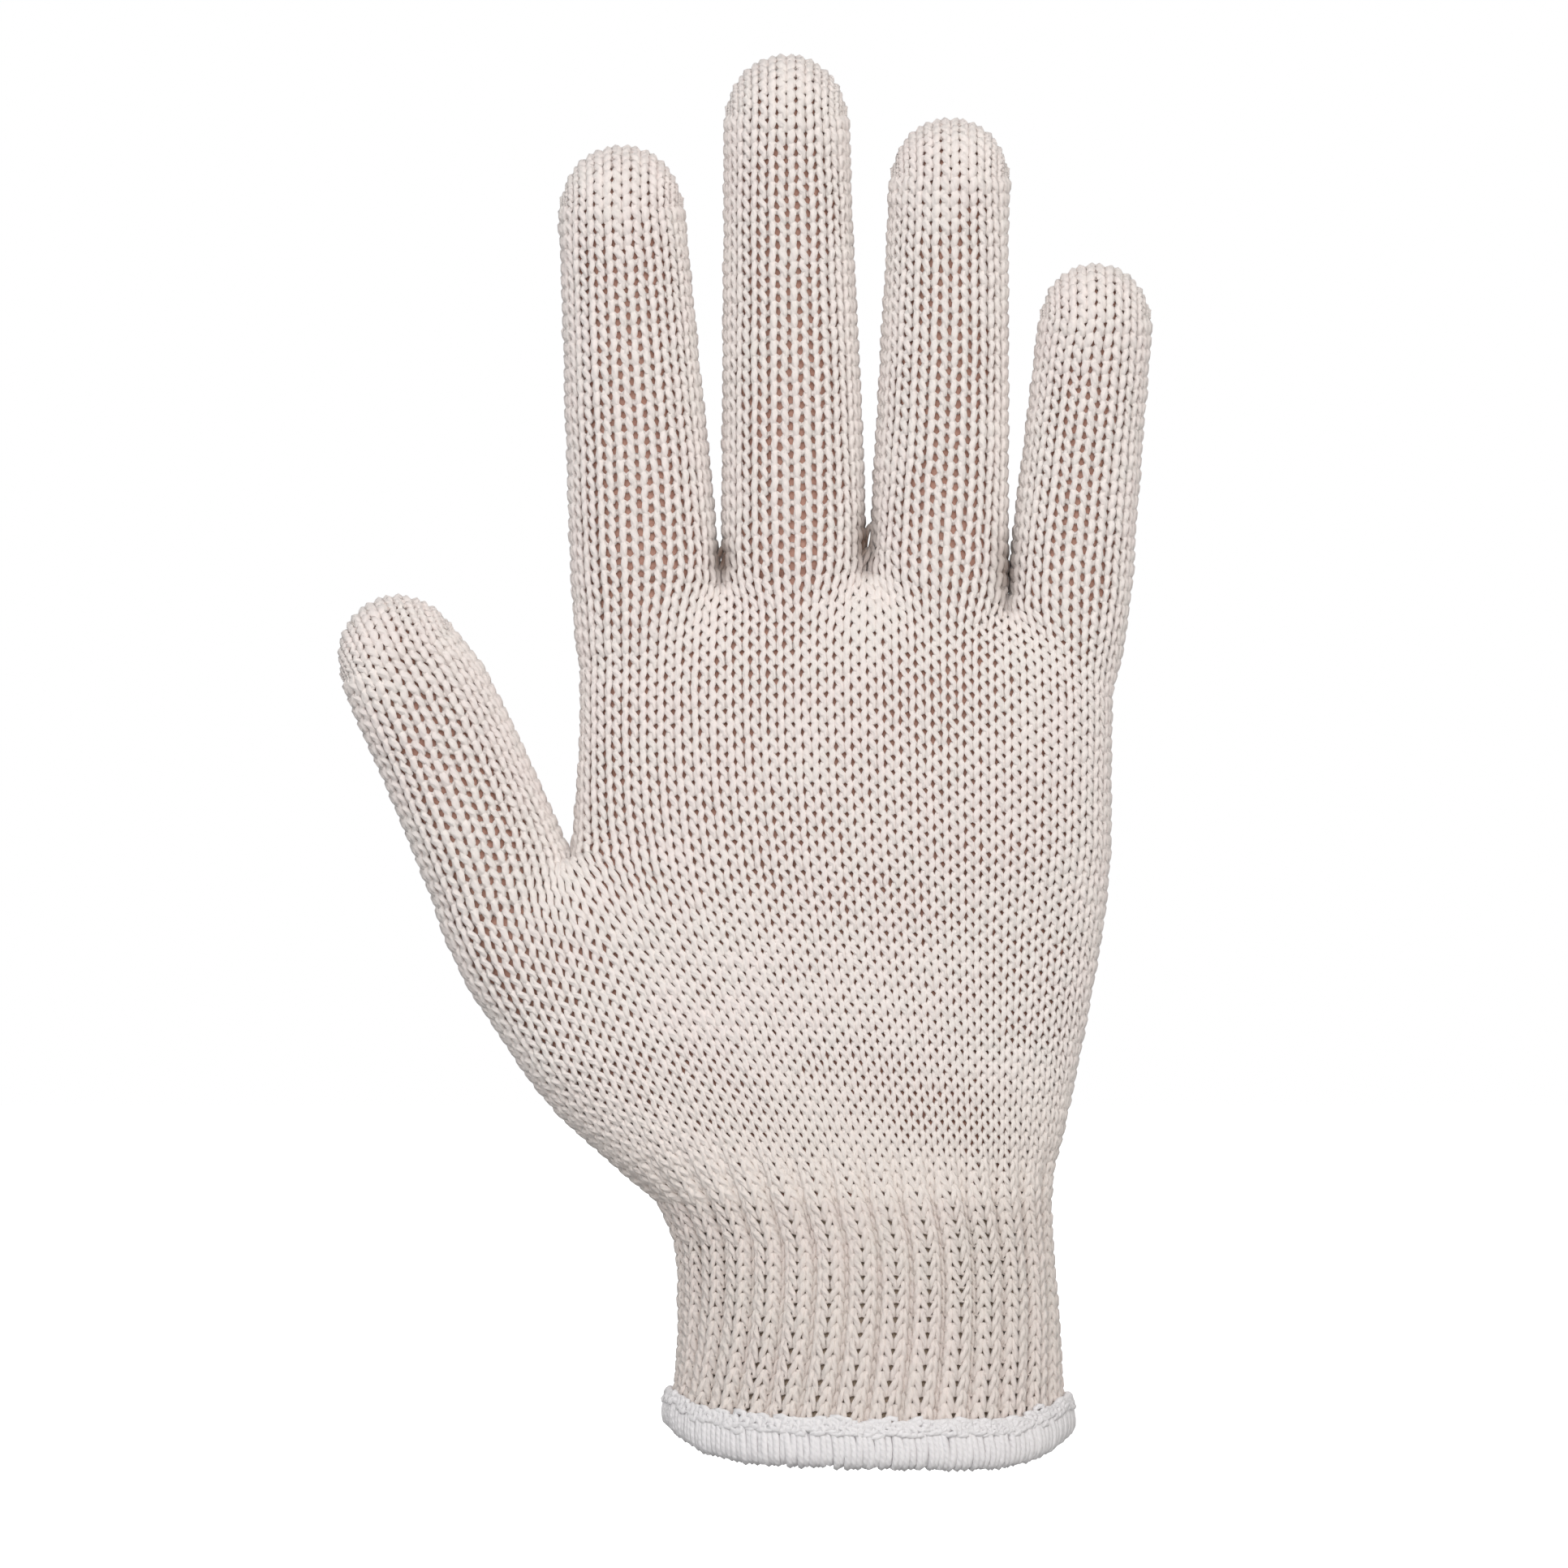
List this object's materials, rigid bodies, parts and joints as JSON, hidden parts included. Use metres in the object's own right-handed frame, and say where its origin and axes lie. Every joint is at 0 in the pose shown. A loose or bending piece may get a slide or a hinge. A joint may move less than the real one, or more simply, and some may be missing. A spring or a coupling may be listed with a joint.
{
  "type": "string knit liner glove",
  "caption": "Seamless string knit work glove in its worn shape, with separate finger tubes, a slanted thumb, a ribbed elastic cuff and an overlocked edge.",
  "frame": {"origin": "centre of the wrist opening, where the hand goes in", "axes": "+Z from the wrist to the fingertips, -Y out of the palm side, thumb towards -X"},
  "size_m": [0.1387, 0.0498, 0.2367],
  "materials": {
    "knit_yarn": "soft matt cotton string yarn, natural off-white, fuzzy",
    "overlock_thread": "matt white polyester overlock thread"
  },
  "bodies": {
    "root": {"index_finger": "knit_yarn", "middle_finger": "knit_yarn", "ring_finger": "knit_yarn", "little_finger": "knit_yarn", "thumb": "knit_yarn", "four_finger_palm": "knit_yarn", "five_finger_palm": "knit_yarn", "rib_cuff": "knit_yarn", "hem_overlock": "overlock_thread"}
  },
  "joints": []
}
